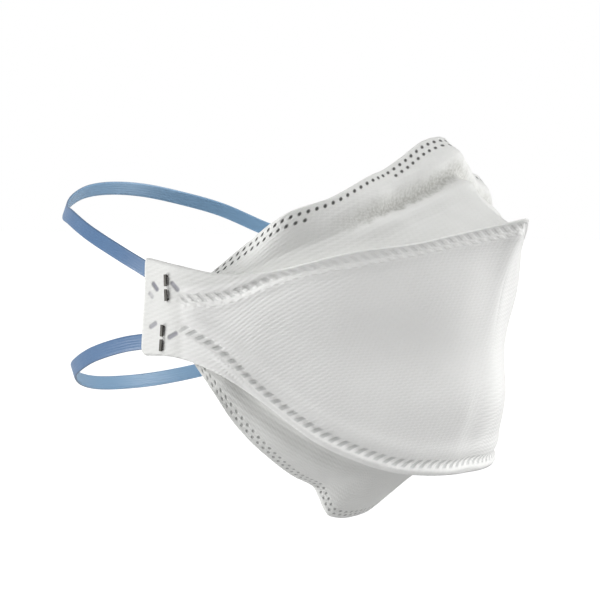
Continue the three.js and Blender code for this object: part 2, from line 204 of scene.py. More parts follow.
LOWER_BAND = rows(
    "side back right_up left_up lean",
    (59.9, -8.8, -8.4, -8.4, -14),
    (59.95, -6.2, -8.8, -8.8, -14),
    (60, 0, -9.8, -9.8, -16),
    (59.4, 9.7, -11.2, -11.2, -18),
    (54.9, 25.2, -14.8, -15, -20),
    (47.4, 38.2, -18.8, -19.4, -21),
    (37, 48.9, -21.9, -23.2, -22),
    (26.3, 55.7, -25, -25.9, -22),
    (13.5, 60.4, -27.1, -27.6, -22),
    (0, 62, -27.9, -27.9, -22),
)

# ---- Curves and sheets -----------------------------------------------


class SmoothLine:
    """A smooth line through given points."""

    def __init__(self, points: Array, even: bool = False) -> None:
        """Keeps the points."""
        self.points = np.asarray(points, dtype=float)
        self.even = even

    def at(self, share: float | Array) -> Array:
        """Reads the line.

        Args:
            share: the place from 0 to 1, with the given points at equal steps.

        Returns:
            One row for each share.
        """
        last = len(self.points) - 1
        place = np.clip(np.atleast_1d(np.asarray(share, dtype=float)), 0, 1) * last
        start = np.minimum(place.astype(int), last - 1)
        w = (place - start)[:, None]
        p = self.points
        padded = np.vstack([2 * p[0] - p[1], p, 2 * p[-1] - p[-2]])
        p0, p1, p2, p3 = (padded[start + k] for k in range(4))
        d0, d1, d2 = (self._step(a, b) for a, b in ((p0, p1), (p1, p2), (p2, p3)))
        leave = ((p1 - p0) / d0 - (p2 - p0) / (d0 + d1) + (p2 - p1) / d1) * d1
        reach = ((p2 - p1) / d1 - (p3 - p1) / (d1 + d2) + (p3 - p2) / d2) * d1
        bend = -3 * p1 + 3 * p2 - 2 * leave - reach
        turn = 2 * p1 - 2 * p2 + leave + reach
        return p1 + leave * w + bend * w**2 + turn * w**3

    def _step(self, a: Array, b: Array) -> Array:
        """Spacing of two rows of points, as the line counts it."""
        if self.even:
            return np.ones((len(a), 1))
        return np.maximum(np.sqrt(np.linalg.norm(b - a, axis=1, keepdims=True)), 1e-6)


class HalfTable:
    """A table of half the respirator, read at stations: its rows, counted from the plane of symmetry."""

    def __init__(self, table: Table) -> None:
        """Keeps the table."""
        self.table = table
        self.last = len(table) - 1

    def share(self, station: Array) -> Array:
        """Turns signed stations into places from 0 to 1."""
        return 0.5 + 0.5 * np.asarray(station, dtype=float) / self.last

    def line(self, station: Array) -> Array:
        """Points of the fold line in the table's own millimetres.

        Args:
            station: signed stations, negative on the wearer's right.

        Returns:
            One row (x, y, z) for each station.
        """
        half = np.array([(r["side"], -r["forward"], r["up"]) for r in self.table])
        other = (half * (-1, 1, 1))[:0:-1]
        return SmoothLine(np.vstack([other, half])).at(self.share(station))

    def column(self, name: str, station: Array) -> Array:
        """Values of one column.

        Args:
            name: the column.
            station: signed stations.

        Returns:
            One value for each station.
        """
        half = [(float(i), r[name]) for i, r in enumerate(self.table)]
        both = [(-i, v) for i, v in half[:0:-1]] + half
        return SmoothLine(np.array(both), even=True).at(self.share(station))[:, 1]

    def outward(self, station: Array) -> Array:
        """Level directions out of the respirator, square to the fold line.

        Args:
            station: signed stations.

        Returns:
            One unit row for each station.
        """
        inner = np.clip(station, 0.05 - self.last, self.last - 0.05)
        run = self.line(inner + 0.05) - self.line(inner - 0.05)
        return unit(np.stack([run[:, 1], -run[:, 0], np.zeros(len(run))], axis=1))


def blend(a: Array, b: Array, share: float, out: Array, swell: Array) -> Array:
    """Points between two lines, moved out by a swell."""
    return a + (b - a) * share + out * swell[:, None]


def even_stations(half: HalfTable, spacing: float) -> Array:
    """Stations at even steps along a fold line.

    Args:
        half: the fold line.
        spacing: the step in mm.

    Returns:
        Signed stations, an odd number of them.
    """
    fine = np.linspace(-half.last, half.last, 4001)
    length = run_length(half.line(fine))
    count = 2 * round(length[-1] / spacing / 2) + 1
    return np.interp(np.linspace(0, length[-1], count), length, fine)


def smooth_share(value: Array, low: float, high: float) -> Array:
    """Rises smoothly from 0 at low to 1 at high."""
    share = np.clip((value - low) / (high - low), 0, 1)
    return share * share * (3 - 2 * share)


def run_length(points: Array) -> Array:
    """Length along a row of points, from the first to each."""
    steps = np.linalg.norm(np.diff(points, axis=0), axis=1)
    return np.concatenate([[0.0], np.cumsum(steps)])


def across_length(grid: Array) -> Array:
    """Length across a grid's columns, from the first row to each."""
    steps = np.linalg.norm(np.diff(grid, axis=1), axis=2)
    return np.concatenate([np.zeros((len(grid), 1)), np.cumsum(steps, axis=1)], axis=1)


def section(points: list[Array], count: int) -> Array:
    """Smooth sections through lines of points."""
    share = np.linspace(0, 1, count + 1)
    return np.stack([SmoothLine(np.stack(control)).at(share) for control in zip(*points)])


def grid_normals(grid: Array) -> Array:
    """Unit normals of a grid of points, out of the respirator."""
    along = np.gradient(grid, axis=0)
    across = np.gradient(grid, axis=1)
    normal = np.cross(along, across)
    return normal / np.maximum(np.linalg.norm(normal, axis=2, keepdims=True), 1e-9)


def soften(grid: Array, times: int) -> Array:
    """Rounds the folds that run along a grid.

    Args:
        grid: the grid, whose first and last rows stay.
        times: how often neighbouring rows are averaged.

    Returns:
        The softened grid.
    """
    out = grid.copy()
    for _ in range(times):
        out[:, 1:-1] = 0.25 * out[:, :-2] + 0.5 * out[:, 1:-1] + 0.25 * out[:, 2:]
    return out


def middle_run(line: Array) -> Array:
    """Length along a line, counted from its middle."""
    length = run_length(line)
    return length - length[-1] / 2


def pairs(along: Array, across: Array) -> Array:
    """Joins a length for each column and a length for each point into pattern coordinates."""
    return np.stack([np.broadcast_to(along[:, None], across.shape), across], axis=2)


def raised(grid: Array, relief: Array) -> Array:
    """Moves each point of a grid out by its relief."""
    return grid + grid_normals(grid) * relief[:, :, None]


def unit(steps: Array) -> Array:
    """The steps, each made one long."""
    return steps / np.linalg.norm(steps, axis=-1, keepdims=True)


def pressed(thickness: float, margin: float, edge_distance: Array) -> Array:
    """Thickness of cloth that is pressed thin at its welded edge."""
    return margin + (thickness - margin) * smooth_share(edge_distance, 0.0, PRESSED_REACH)


@dataclass(frozen=True)
class Ridge:
    """A rounded ridge along a sheet, or a valley where its height is negative, in mm."""

    place: float
    width: float
    height: float

    def rise(self, distance: Array) -> Array:
        """Height of the ridge at each distance from its line."""
        return self.height * np.exp(-(((distance - self.place) / self.width) ** 2))


@dataclass(frozen=True)
class Wave:
    """Shallow waves of cloth that was folded flat, in mm."""

    size: float
    depth: float
    seed: float

    def rise(self, grid: Array) -> Array:
        """Height of the waves at each point of a grid."""
        flat = grid.reshape(-1, 3) / self.size + self.seed
        values = [noise.noise(Vector(p)) for p in flat]
        return self.depth * np.array(values).reshape(grid.shape[:2])


# ---- Meshes ----------------------------------------------------------


def deselect_all() -> None:
    """Leaves object mode with nothing selected."""
    if bpy.context.object and bpy.context.object.mode != "OBJECT":
        bpy.ops.object.mode_set(mode="OBJECT")
    bpy.ops.object.select_all(action="DESELECT")


def add_mesh(name: str, points: Array, faces: list[list[int]], maps: dict[str, Array]) -> Object:
    """Makes a smooth mesh object in the scene.

    Args:
        name: the object's name.
        points: its points in the tables' millimetres.
        faces: its faces, all facing out.
        maps: pattern coordinates by name, three numbers for each point.

    Returns:
        The object, in metres in the row frame.
    """
    mesh = bpy.data.meshes.new(name)
    mesh.from_pydata(((points + SEAT) * MM).tolist(), [], faces)
    mesh.validate()
    for label, values in maps.items():
        attribute = mesh.attributes.new(label, "FLOAT_VECTOR", "POINT")
        attribute.data.foreach_set("vector", values.astype(np.float32).ravel())
    mesh.shade_smooth()
    piece = bpy.data.objects.new(name, mesh)
    bpy.context.scene.collection.objects.link(piece)
    return piece


def dress(piece: Object, material: Material, node: str) -> None:
    """Gives a piece its material, hangs it on the empty of the body that it rides, and hides the CAD
    node that it stands for.

    Args:
        piece: the piece.
        material: its material.
        node: the CAD node that it stands for.
    """
    piece.data.materials.append(material)
    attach(piece, BODY)
    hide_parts(node)


@dataclass
class Sheet:
    """A closed sheet of cloth laid out as a grid of columns and rows."""

    name: str
    grid: Array  # outer face in the tables' mm
    thickness: Array  # mm, one for each point
    maps: dict[str, Array]  # pattern coordinates in mm, one pair for each point

    def build(self) -> Object:
        """Makes the mesh object. A map's third number is 0 on the outer face and 1 on the inner.

        Returns:
            The object, linked to the scene.
        """
        columns, count = self.grid.shape[:2]
        inner = self.grid - grid_normals(self.grid) * self.thickness[:, :, None]
        points = np.concatenate([self.grid.reshape(-1, 3), inner.reshape(-1, 3)])
        maps = {}
        for name, values in self.maps.items():
            flat = np.zeros((columns * count, 3))
            flat[:, :2] = values.reshape(-1, 2)
            maps[name] = np.concatenate([flat, flat + (0, 0, 1)])
        return add_mesh(self.name, points, self._faces(columns, count), maps)

    @staticmethod
    def _faces(columns: int, count: int) -> list[list[int]]:
        """Faces of both sides and of the four rims.

        Args:
            columns: number of columns.
            count: number of points in a column.

        Returns:
            Quads, all facing out.
        """
        corner = np.arange(columns * count).reshape(columns, count)
        quads = corner[:-1, :-1], corner[1:, :-1], corner[1:, 1:], corner[:-1, 1:]
        outer = np.stack(quads, axis=2).reshape(-1, 4)
        rim = np.concatenate([corner[:-1, 0], corner[-1, :-1], corner[:0:-1, -1], corner[0, :0:-1]])
        after, behind = np.roll(rim, -1), columns * count
        rims = np.stack([rim, rim + behind, after + behind, after], axis=1)
        return np.concatenate([outer, outer[:, (0, 3, 2, 1)] + behind, rims]).tolist()

    def flat_size(self) -> Span:
        """The sheet's width and height laid flat, in metres."""
        length = np.mean([run_length(row)[-1] for row in self.grid.transpose(1, 0, 2)])
        height = across_length(self.grid)[:, -1].max()
        return float(length) * MM, float(height) * MM

    def flat_area(self) -> float:
        """The area of one face, in square metres."""
        along = np.diff(self.grid, axis=0)[:, :-1]
        across = np.diff(self.grid, axis=1)[:-1]
        return float(np.linalg.norm(np.cross(along, across), axis=2).sum()) * MM**2


# ---- Node trees ------------------------------------------------------


class Graph:
    """Adds nodes to a node tree in few words."""

    def __init__(self, tree: bpy.types.NodeTree) -> None:
        """Keeps the tree and empties it."""
        self.tree = tree
        tree.nodes.clear()

    def node(self, kind: str, inputs: dict | None = None, **settings: object) -> bpy.types.Node:
        """Adds a node.

        Args:
            kind: the node's type name.
            inputs: values or sockets for its inputs, by name or number.
            settings: values for its properties.

        Returns:
            The node.
        """
        node = self.tree.nodes.new(kind)
        for name, value in settings.items():
            setattr(node, name, value)
        for name, value in (inputs or {}).items():
            self.feed(node.inputs[name], value)
        return node

    def feed(self, socket: Socket, value: object) -> None:
        """Links a socket to another, or sets its value.

        Args:
            socket: the input.
            value: an output socket, a number, or a tuple.
        """
        if isinstance(value, Socket):
            self.tree.links.new(value, socket)
        else:
            socket.default_value = value

    def math(self, operation: str, *values: object) -> Socket:
        """Adds a Math node."""
        node = self.node("ShaderNodeMath", dict(enumerate(values)), operation=operation)
        return node.outputs[0]

    def add(self, a: object, b: object) -> Socket:
        """Adds two numbers."""
        return self.math("ADD", a, b)

    def sub(self, a: object, b: object) -> Socket:
        """Takes the second number from the first."""
        return self.math("SUBTRACT", a, b)

    def mul(self, first: object, *others: object) -> Socket:
        """Multiplies numbers."""
        for other in others:
            first = self.math("MULTIPLY", first, other)
        return first

    def div(self, a: object, b: object) -> Socket:
        """Divides the first number by the second."""
        return self.math("DIVIDE", a, b)

    def size(self, value: object) -> Socket:
        """A number without its sign."""
        return self.math("ABSOLUTE", value)

    def wave(self, place: object, pitch: object) -> Socket:
        """A wave from -1 to 1 that repeats at each pitch."""
        return self.math("SINE", self.mul(place, self.div(math.tau, pitch)))

    def turned(self, x: object, y: object, angle: object) -> tuple[Socket, Socket]:
        """A place in the plane, along and aside from a direction at an angle."""
        cos, sin = self.math("COSINE", angle), self.math("SINE", angle)
        along = self.add(self.mul(x, cos), self.mul(y, sin))
        return along, self.sub(self.mul(y, cos), self.mul(x, sin))

    def far(self, x: object, y: object) -> Socket:
        """Distance of a place in the plane."""
        return self.math("SQRT", self.add(self.mul(x, x), self.mul(y, y)))

    def ramp(self, value: object, low: object, high: object) -> Socket:
        """Rises smoothly from 0 at low to 1 at high."""
        inputs = {"Value": value, "From Min": low, "From Max": high}
        return self.node("ShaderNodeMapRange", inputs, interpolation_type="SMOOTHSTEP").outputs[0]

    def fall(self, value: object, low: object, high: object) -> Socket:
        """Falls smoothly from 1 at low to 0 at high."""
        return self.sub(1.0, self.ramp(value, low, high))

    def between(self, share: object, low: float, high: float) -> Socket:
        """Mixes two numbers, low at 0 and high at 1."""
        return self.add(low, self.mul(share, high - low))

    def noise(self, vector: object, scale: object, detail: float, **inputs: object) -> Socket:
        """Reads a noise pattern."""
        inputs = {"Vector": vector, "Scale": scale, "Detail": detail} | inputs
        return self.node("ShaderNodeTexNoise", inputs).outputs[0]

    def attribute(self, name: str) -> Socket:
        """Reads a mesh attribute as a vector."""
        return self.node("ShaderNodeAttribute", attribute_name=name).outputs["Vector"]

    def bump(self, height: object) -> Socket:
        """Turns a height in mm into a normal."""
        inputs = {"Strength": 1.0, "Distance": MM, "Height": height}
        return self.node("ShaderNodeBump", inputs).outputs[0]

    def surface(self, inputs: dict[str, object]) -> None:
        """Ends a material with its shader."""
        shader = self.node("ShaderNodeBsdfPrincipled", inputs)
        self.node("ShaderNodeOutputMaterial", {"Surface": shader.outputs[0]})

    def split(self, vector: object) -> tuple[Socket, Socket, Socket]:
        """Takes a vector apart into its three numbers."""
        node = self.node("ShaderNodeSeparateXYZ", {0: vector})
        return node.outputs[0], node.outputs[1], node.outputs[2]

    def mix(self, share: object, a: object, b: object) -> Socket:
        """Mixes two colours.

        Args:
            share: 0 for the first, 1 for the second.
            a: the first colour.
            b: the second colour.

        Returns:
            The mixed colour.
        """
        node = self.node("ShaderNodeMix", data_type="RGBA")
        for index, value in ((0, share), (6, a), (7, b)):
            self.feed(node.inputs[index], value)
        return node.outputs[2]


# ---- Patterns and finishes -------------------------------------------


class Welds(Enum):
    """Which welds a panel carries."""

    CENTRE = "centre"
    NOSE = "nose"
    CHIN = "chin"


@dataclass(frozen=True)
class Pattern:
    """A pattern on the cloth. Each kind is drawn once, as a node group that takes its fields."""

    def draw(self, g: Graph, i: Sockets) -> dict[str, Socket]:
        """Draws the pattern from the group's inputs, and names what the group gives."""
        raise NotImplementedError

    def on(self, g: Graph, place: Socket, **changed: object) -> Sockets:
        """Places the pattern's group in a material.

        Args:
            g: the material's graph.
            place: the pattern coordinates.
            changed: inputs that don't come from the pattern's own fields.

        Returns:
            The group's outputs.
        """
        name = type(self).__name__
        tree = bpy.data.node_groups.get(name) or self._group(name)
        inputs = {"vector": place} | vars(self) | changed
        return g.node("ShaderNodeGroup", inputs, node_tree=tree).outputs

    def _group(self, name: str) -> bpy.types.NodeTree:
        """Makes the node group."""
        tree = bpy.data.node_groups.new(name, "ShaderNodeTree")
        tree.interface.new_socket("vector", in_out="INPUT", socket_type="NodeSocketVector")
        for label in vars(self):
            tree.interface.new_socket(label, in_out="INPUT", socket_type="NodeSocketFloat")
        g = Graph(tree)
        results = self.draw(g, g.node("NodeGroupInput").outputs)
        for label in results:
            tree.interface.new_socket(label, in_out="OUTPUT", socket_type="NodeSocketFloat")
        g.node("NodeGroupOutput", results)
        return tree


@dataclass(frozen=True)
class DotRow(Pattern):
    """A row of round welds along an edge, in mm."""

    row: float  # distance from the edge
    pitch: float
    radius: float
    shift: float = 0.0  # share of the pitch

    def draw(self, g: Graph, i: Sockets) -> dict[str, Socket]:
        """Draws the row."""
        s, v, _ = g.split(i["vector"])
        turn = g.math("FRACT", g.add(g.div(s, i["pitch"]), i["shift"]))
        far = g.far(g.mul(g.sub(turn, 0.5), i["pitch"]), g.sub(v, i["row"]))
        return {"mask": g.fall(far, g.mul(i["radius"], 0.45), g.mul(i["radius"], 1.35))}


@dataclass(frozen=True)
class DashRow(Pattern):
    """A row of slanted welds along a seam, in mm."""

    pitch: float
    lean: float
    width: float
    height: float
    row: float = 0.0  # distance from the seam

    def draw(self, g: Graph, i: Sockets) -> dict[str, Socket]:
        """Draws the row."""
        s, v, _ = g.split(i["vector"])
        v = g.sub(v, i["row"])
        turn = g.math("FRACT", g.div(g.add(s, g.mul(v, i["lean"])), i["pitch"]))
        ds = g.mul(g.size(g.sub(turn, 0.5)), i["pitch"])
        across = g.fall(ds, g.mul(i["width"], 0.25), g.mul(i["width"], 0.75))
        along = g.fall(g.size(v), g.mul(i["height"], 0.32), g.mul(i["height"], 0.62))
        return {"mask": g.mul(across, along)}


@dataclass(frozen=True)
class TabMark(Pattern):
    """A single weld on a tab, in mm in the tab's plane."""

    forward: float
    up: float
    slant_deg: float
    length: float
    strength: float
    width: float = 1.3

    def draw(self, g: Graph, i: Sockets) -> dict[str, Socket]:
        """Draws the weld."""
        x, y, _ = g.split(i["vector"])
        slant = g.math("RADIANS", i["slant_deg"])
        along, aside = g.turned(g.sub(x, i["forward"]), g.sub(y, i["up"]), slant)
        beyond = g.math("MAXIMUM", g.sub(g.size(along), g.mul(i["length"], 0.5)), 0.0)
        mark = g.fall(g.far(beyond, aside), g.mul(i["width"], 0.2), g.mul(i["width"], 0.75))
        return {"mask": g.mul(mark, i["strength"])}


@dataclass(frozen=True)
class BondPoints(Pattern):
    """The fine pattern of pressed points that holds a nonwoven's fibres, in slanted lines."""

    slant: float = 0.35
    line_pitch: float = 1.35  # mm
    point_pitch: float = 1.7  # mm

    def draw(self, g: Graph, i: Sockets) -> dict[str, Socket]:
        """Draws the points' height."""
        s, v, _ = g.split(i["vector"])
        along, aside = g.turned(s, v, i["slant"])
        lines = g.wave(aside, i["line_pitch"])
        dashes = g.wave(g.add(along, g.mul(aside, 0.6)), i["point_pitch"])
        return {"height": g.add(g.mul(lines, 0.7), g.mul(lines, dashes, 0.45))}


@dataclass(frozen=True)
class Fibres(Pattern):
    """Cloudy thick and thin places, and the fuzz of loose fibres."""

    cloud_scale: float = 0.16
    fuzz_scale: float = 2.6

    def draw(self, g: Graph, i: Sockets) -> dict[str, Socket]:
        """Draws the clouds and the fuzz."""
        place = {"Vector": i["vector"], "Scale": (1.0, 2.6, 1.0), "Rotation": (0, 0, 0.4)}
        stretched = g.node("ShaderNodeMapping", place).outputs[0]
        fuzz = g.noise(stretched, i["fuzz_scale"], 4.0, Roughness=0.65)
        return {"cloud": g.noise(i["vector"], i["cloud_scale"], 3.0), "fuzz": fuzz}


TAB_MARKS = (
    TabMark(forward=3.7, up=5.4, slant_deg=-48, length=1.9, strength=0.8),
    TabMark(forward=2.2, up=3.0, slant_deg=-48, length=1.1, strength=0.35),
    TabMark(forward=10.4, up=5.6, slant_deg=-46, length=2.3, strength=0.7),
    TabMark(forward=2.9, up=-5.3, slant_deg=30, length=1.9, strength=0.6),
    TabMark(forward=9.7, up=-7.9, slant_deg=28, length=2.3, strength=0.7),
)
TOP_DASHES = DashRow(pitch=2.7, lean=1.1, width=1.3, height=2.3)
TOP_PUFFS = DashRow(pitch=2.7, lean=1.1, width=1.5, height=1.1)
BOTTOM_DASHES = DashRow(pitch=2.75, lean=-1.1, width=1.35, height=2.4, row=-0.45)
NOSE_DOTS = (
    DotRow(row=1.7, pitch=2.4, radius=0.56),
    DotRow(row=3.9, pitch=2.4, radius=0.56, shift=0.35),
)
NOSE_GAP = ((22.74, 22.86), (51.52, 51.66))  # mm from the middle, where the second row stops and goes on
CHIN_DOTS = (DotRow(row=1.7, pitch=2.3, radius=0.5), DotRow(row=3.3, pitch=2.3, radius=0.5, shift=0.5))


def start_material(name: str) -> tuple[Material, Graph]:
    """Makes an empty material, and the graph that fills it."""
    material = bpy.data.materials.new(name)
    material.use_nodes = True
    return material, Graph(material.node_tree)


@dataclass(frozen=True)
class CoverFinish:
    """White nonwoven cover web with its pressed points and welds."""

    colour: Colour = (0.875, 0.875, 0.855, 1)
    cloudy: Colour = (0.775, 0.78, 0.76, 1)
    dot: Colour = (0.05, 0.05, 0.046, 1)
    pressed: Colour = (0.47, 0.48, 0.47, 1)
    # painted highlight: lighter colour on the raised puffs between the top welds
    puff: Colour = (0.88, 0.88, 0.86, 1)
    # greyer tint over the flat tab, fading out towards the cloth
    dense: Colour = (0.6, 0.6, 0.585, 1)
    strip: Colour = (0.93, 0.93, 0.915, 1)
    # painted shade: grey tint laid in the hollow just above the nose crease
    fold: Colour = (0.5, 0.5, 0.47, 1)
    tab_weld: Colour = (0.14, 0.14, 0.19, 1)
    roughness: float = 0.92
    point_depth: float = 0.034  # mm
    fuzz_depth: float = 0.055  # mm
    weld_depth: float = 0.35  # mm
    dense_ends: Span = (9.0, 17.0)  # mm forward, where the greyer tint over the flat tab ends
    seams_start: Span = (11.0, 13.5)  # mm forward, where the seams' welds start
    near_tab: Span = (62.0, 80.0)  # mm from the middle, where the top welds get stronger
    strip_ends: Span = (2.4, 4.2)  # mm above the top seam
    puff_drop: float = 2.0  # mm from the top welds down to the puffs between them
    hollow_starts: Span = (-0.6, 1.2)  # mm above the nose fold, where the painted shade above the crease starts
    hollow_ends: Span = (2.0, 6.5)  # mm above the nose fold, where that painted shade ends
    hollow_grain: Span = (0.5, 0.95)  # weakest and strongest spots of the painted shade's tint
    top_tint: Span = (0.14, 0.34)  # at the front, and near the tabs
    top_depth: Span = (0.35, 0.55)  # the same, as a share of the weld's depth
    bottom_tint: float = 0.6
    bottom_depth: float = 0.8  # share of the weld's depth, also the puffs' height
    dense_tint: float = 0.3
    strip_tint: float = 0.8
    puff_tint: float = 0.35
    nose_dot_tint: float = 0.95
    chin_dot_tint: float = 0.5

    def material(self, welds: Welds) -> Material:
        """Builds the material for one panel.

        Args:
            welds: the welds that the panel carries.

        Returns:
            The material.
        """
        material, g = start_material(f"cover_{welds.value}")
        cloth = g.attribute("cloth")
        points = BondPoints().on(g, cloth)["height"]
        cloud, fuzz = Fibres().on(g, cloth)
        colour = g.mix(cloud, self.colour, self.cloudy)
        colour = g.mix(g.mul(g.ramp(fuzz, 0.4, 0.64), 0.8), colour, self.cloudy)
        height = g.add(g.mul(points, self.point_depth), g.mul(fuzz, self.fuzz_depth))
        draw = {Welds.CENTRE: self._centre, Welds.NOSE: self._nose, Welds.CHIN: self._chin}[welds]
        for mask, tint, depth in draw(g):
            colour = g.mix(mask, colour, tint)
            height = g.sub(height, g.mul(mask, depth))
        look = {"Base Color": colour, "Roughness": self.roughness, "Specular IOR Level": 0.25}
        look |= {"Sheen Weight": 0.25, "Sheen Roughness": 0.6, "Normal": g.bump(height)}
        g.surface(look)
        return material

    def _centre(self, g: Graph) -> list[tuple]:
        """Welds of the centre panel: a row of dashes on each seam, raised puffs below the top row with a
        painted highlight, and single welds on the tabs.

        Args:
            g: the material's graph.

        Returns:
            For each mark its mask, its colour and its depth in mm.
        """
        upper, lower, tab = (g.attribute(name) for name in ("upper_seam", "lower_seam", "tab"))
        along, above, _ = g.split(upper)
        forward = g.split(tab)[0]
        clear = g.ramp(forward, *self.seams_start)
        run = g.size(along)
        row = g.sub(TOP_ROW, g.mul(g.ramp(run, *TOP_ROW_FALLS), TOP_ROW_DROP))
        near = g.ramp(run, *self.near_tab)
        tint = g.between(near, *self.top_tint)
        depth = g.mul(g.between(near, *self.top_depth), self.weld_depth)
        top = g.mul(TOP_DASHES.on(g, upper, row=row)["mask"], clear, tint)
        # the puffs are raised in the bump, and their lighter colour is a painted highlight
        puff_relief_and_highlight = TOP_PUFFS.on(g, upper, row=g.sub(row, self.puff_drop))["mask"]
        puff_relief_and_highlight = g.mul(puff_relief_and_highlight, clear, self.puff_tint)
        bottom = g.mul(BOTTOM_DASHES.on(g, lower)["mask"], clear, self.bottom_tint)
        marks = [
            (g.mul(g.fall(forward, *self.dense_ends), self.dense_tint), self.dense, 0.0),
            (g.mul(g.fall(above, *self.strip_ends), clear, self.strip_tint), self.strip, 0.0),
            (puff_relief_and_highlight, self.puff, -self.bottom_depth * self.weld_depth),
            (top, self.pressed, g.div(depth, tint)),
            (bottom, self.pressed, self.bottom_depth * self.weld_depth),
        ]
        singles = [mark.on(g, tab)["mask"] for mark in TAB_MARKS]
        return marks + [(mask, self.tab_weld, self.weld_depth) for mask in singles]

    def _nose(self, g: Graph) -> list[tuple]:
        """Marks of the nose panel: two rows of dots, the second with gaps, and painted shade in the
        hollow above the crease.

        Args:
            g: the material's graph.

        Returns:
            For each mark its mask, its colour and its depth in mm.
        """
        edge = g.attribute("edge")
        run = g.size(g.split(edge)[0])
        outer, inner = (dots.on(g, edge)["mask"] for dots in NOSE_DOTS)
        stop, restart = NOSE_GAP
        inner = g.mul(inner, g.sub(1.0, g.mul(g.ramp(run, *stop), g.fall(run, *restart))))
        # painted shade: a darker, mottled tint on the outer face just above the crease, where the fold
        # is in shade
        above, folded, inside = g.split(g.attribute("fold"))
        above = g.add(above, g.mul(g.sub(g.noise(edge, 0.35, 3.0), 0.5), 4.0))
        crease_shade_mottle = g.between(g.ramp(g.noise(edge, 1.3, 4.0), 0.38, 0.62), *self.hollow_grain)
        hollow = g.mul(g.ramp(above, *self.hollow_starts), g.fall(above, *self.hollow_ends))
        hollow = g.mul(hollow, g.math("POWER", folded, 0.4), crease_shade_mottle, g.sub(1.0, inside))
        dots = g.mul(g.math("MAXIMUM", outer, inner), self.nose_dot_tint)
        return [(hollow, self.fold, 0.0), (dots, self.dot, self.weld_depth)]

    def _chin(self, g: Graph) -> list[tuple]:
        """Welds of the chin panel: two staggered rows of dots along its edge."""
        edge = g.attribute("edge")
        outer, inner = (dots.on(g, edge)["mask"] for dots in CHIN_DOTS)
        return [(g.mul(g.math("MAXIMUM", outer, inner), self.chin_dot_tint), self.dot, self.weld_depth)]


@dataclass(frozen=True)
class ElasticFinish:
    """Blue rubber band, faintly ribbed along its length, with painted shade on its outer face and
    painted highlight on its inner face.
    """

    # one blue in two copies: a dark one on the outer face as painted shade, a light one on the inner
    # face as painted highlight
    outer: Colour = (0.046, 0.118, 0.25, 1)
    inner: Colour = (0.22, 0.39, 0.59, 1)
    worn: Colour = (0.2, 0.33, 0.5, 1)
    roughness: float = 0.33
    rib_pitch: float = 0.75  # mm
    rib_depth: float = 0.012  # mm

    def material(self) -> Material:
        """Builds the material.

        Returns:
            The material.
        """
        material, g = start_material("elastic_blue")
        band = g.attribute("cloth")
        cloud, fuzz = Fibres(cloud_scale=0.12, fuzz_scale=5.0).on(g, band)
        _, aside, outward = g.split(band)
        height = g.add(g.mul(g.wave(aside, self.rib_pitch), self.rib_depth), g.mul(fuzz, 0.01))
        # inner face painted lighter and outer face painted darker, standing in for light and shade on
        # the band
        colour = g.mix(g.ramp(outward, -0.1, 0.1), self.inner, self.outer)
        colour = g.mix(g.mul(cloud, 0.25), colour, self.worn)
        rough = g.add(self.roughness, g.mul(fuzz, 0.12))
        look = {"Base Color": colour, "Roughness": rough, "Specular IOR Level": 0.6}
        g.surface(look | {"Normal": g.bump(height)})
        return material


@dataclass(frozen=True)
class SteelFinish:
    """Dull grey staple wire with fine drawing marks."""

    colour: Colour = (0.03, 0.029, 0.027, 1)
    bright: Colour = (0.1, 0.097, 0.09, 1)
    roughness: float = 0.38
    mark_depth: float = 0.02  # mm

    def material(self) -> Material:
        """Builds the material.

        Returns:
            The material.
        """
        material, g = start_material("staple_steel")
        place = g.node("ShaderNodeTexCoord").outputs["Object"]
        drawn = g.node("ShaderNodeMapping", {"Vector": place, "Scale": (6000.0, 6000.0, 500.0)})
        marks = g.noise(drawn.outputs[0], 1.0, 2.0)
        colour = g.mix(marks, self.colour, self.bright)
        rough = g.add(self.roughness, g.mul(marks, 0.15))
        look = {"Base Color": colour, "Metallic": 1.0, "Roughness": rough}
        g.surface(look | {"Normal": g.bump(g.mul(marks, self.mark_depth))})
        return material


# ---- The three panels ------------------------------------------------


@dataclass
class Panel:
    """A panel of cloth, welded at its edges. Each kind of panel lays out its own sheet."""

    node: str
    welds: Welds
    cloth: float = 1.2  # mm
    margin: float = 0.6  # mm, where the cloth is pressed
    finish: CoverFinish = CoverFinish()

    def sheet(self) -> Sheet:
        """Lays out the panel's grid and its pattern coordinates."""
        raise NotImplementedError

    def build(self) -> Object:
        """Returns:
            The finished piece.
        """
        sheet = self.sheet()
        piece = sheet.build()
        dress(piece, self.finish.material(self.welds), self.node)
        sheet.flat_size()
        sheet.flat_area()
        log.info("%s: %d faces, flat %s", piece.name, len(piece.data.polygons), sheet.flat_size())
        return piece


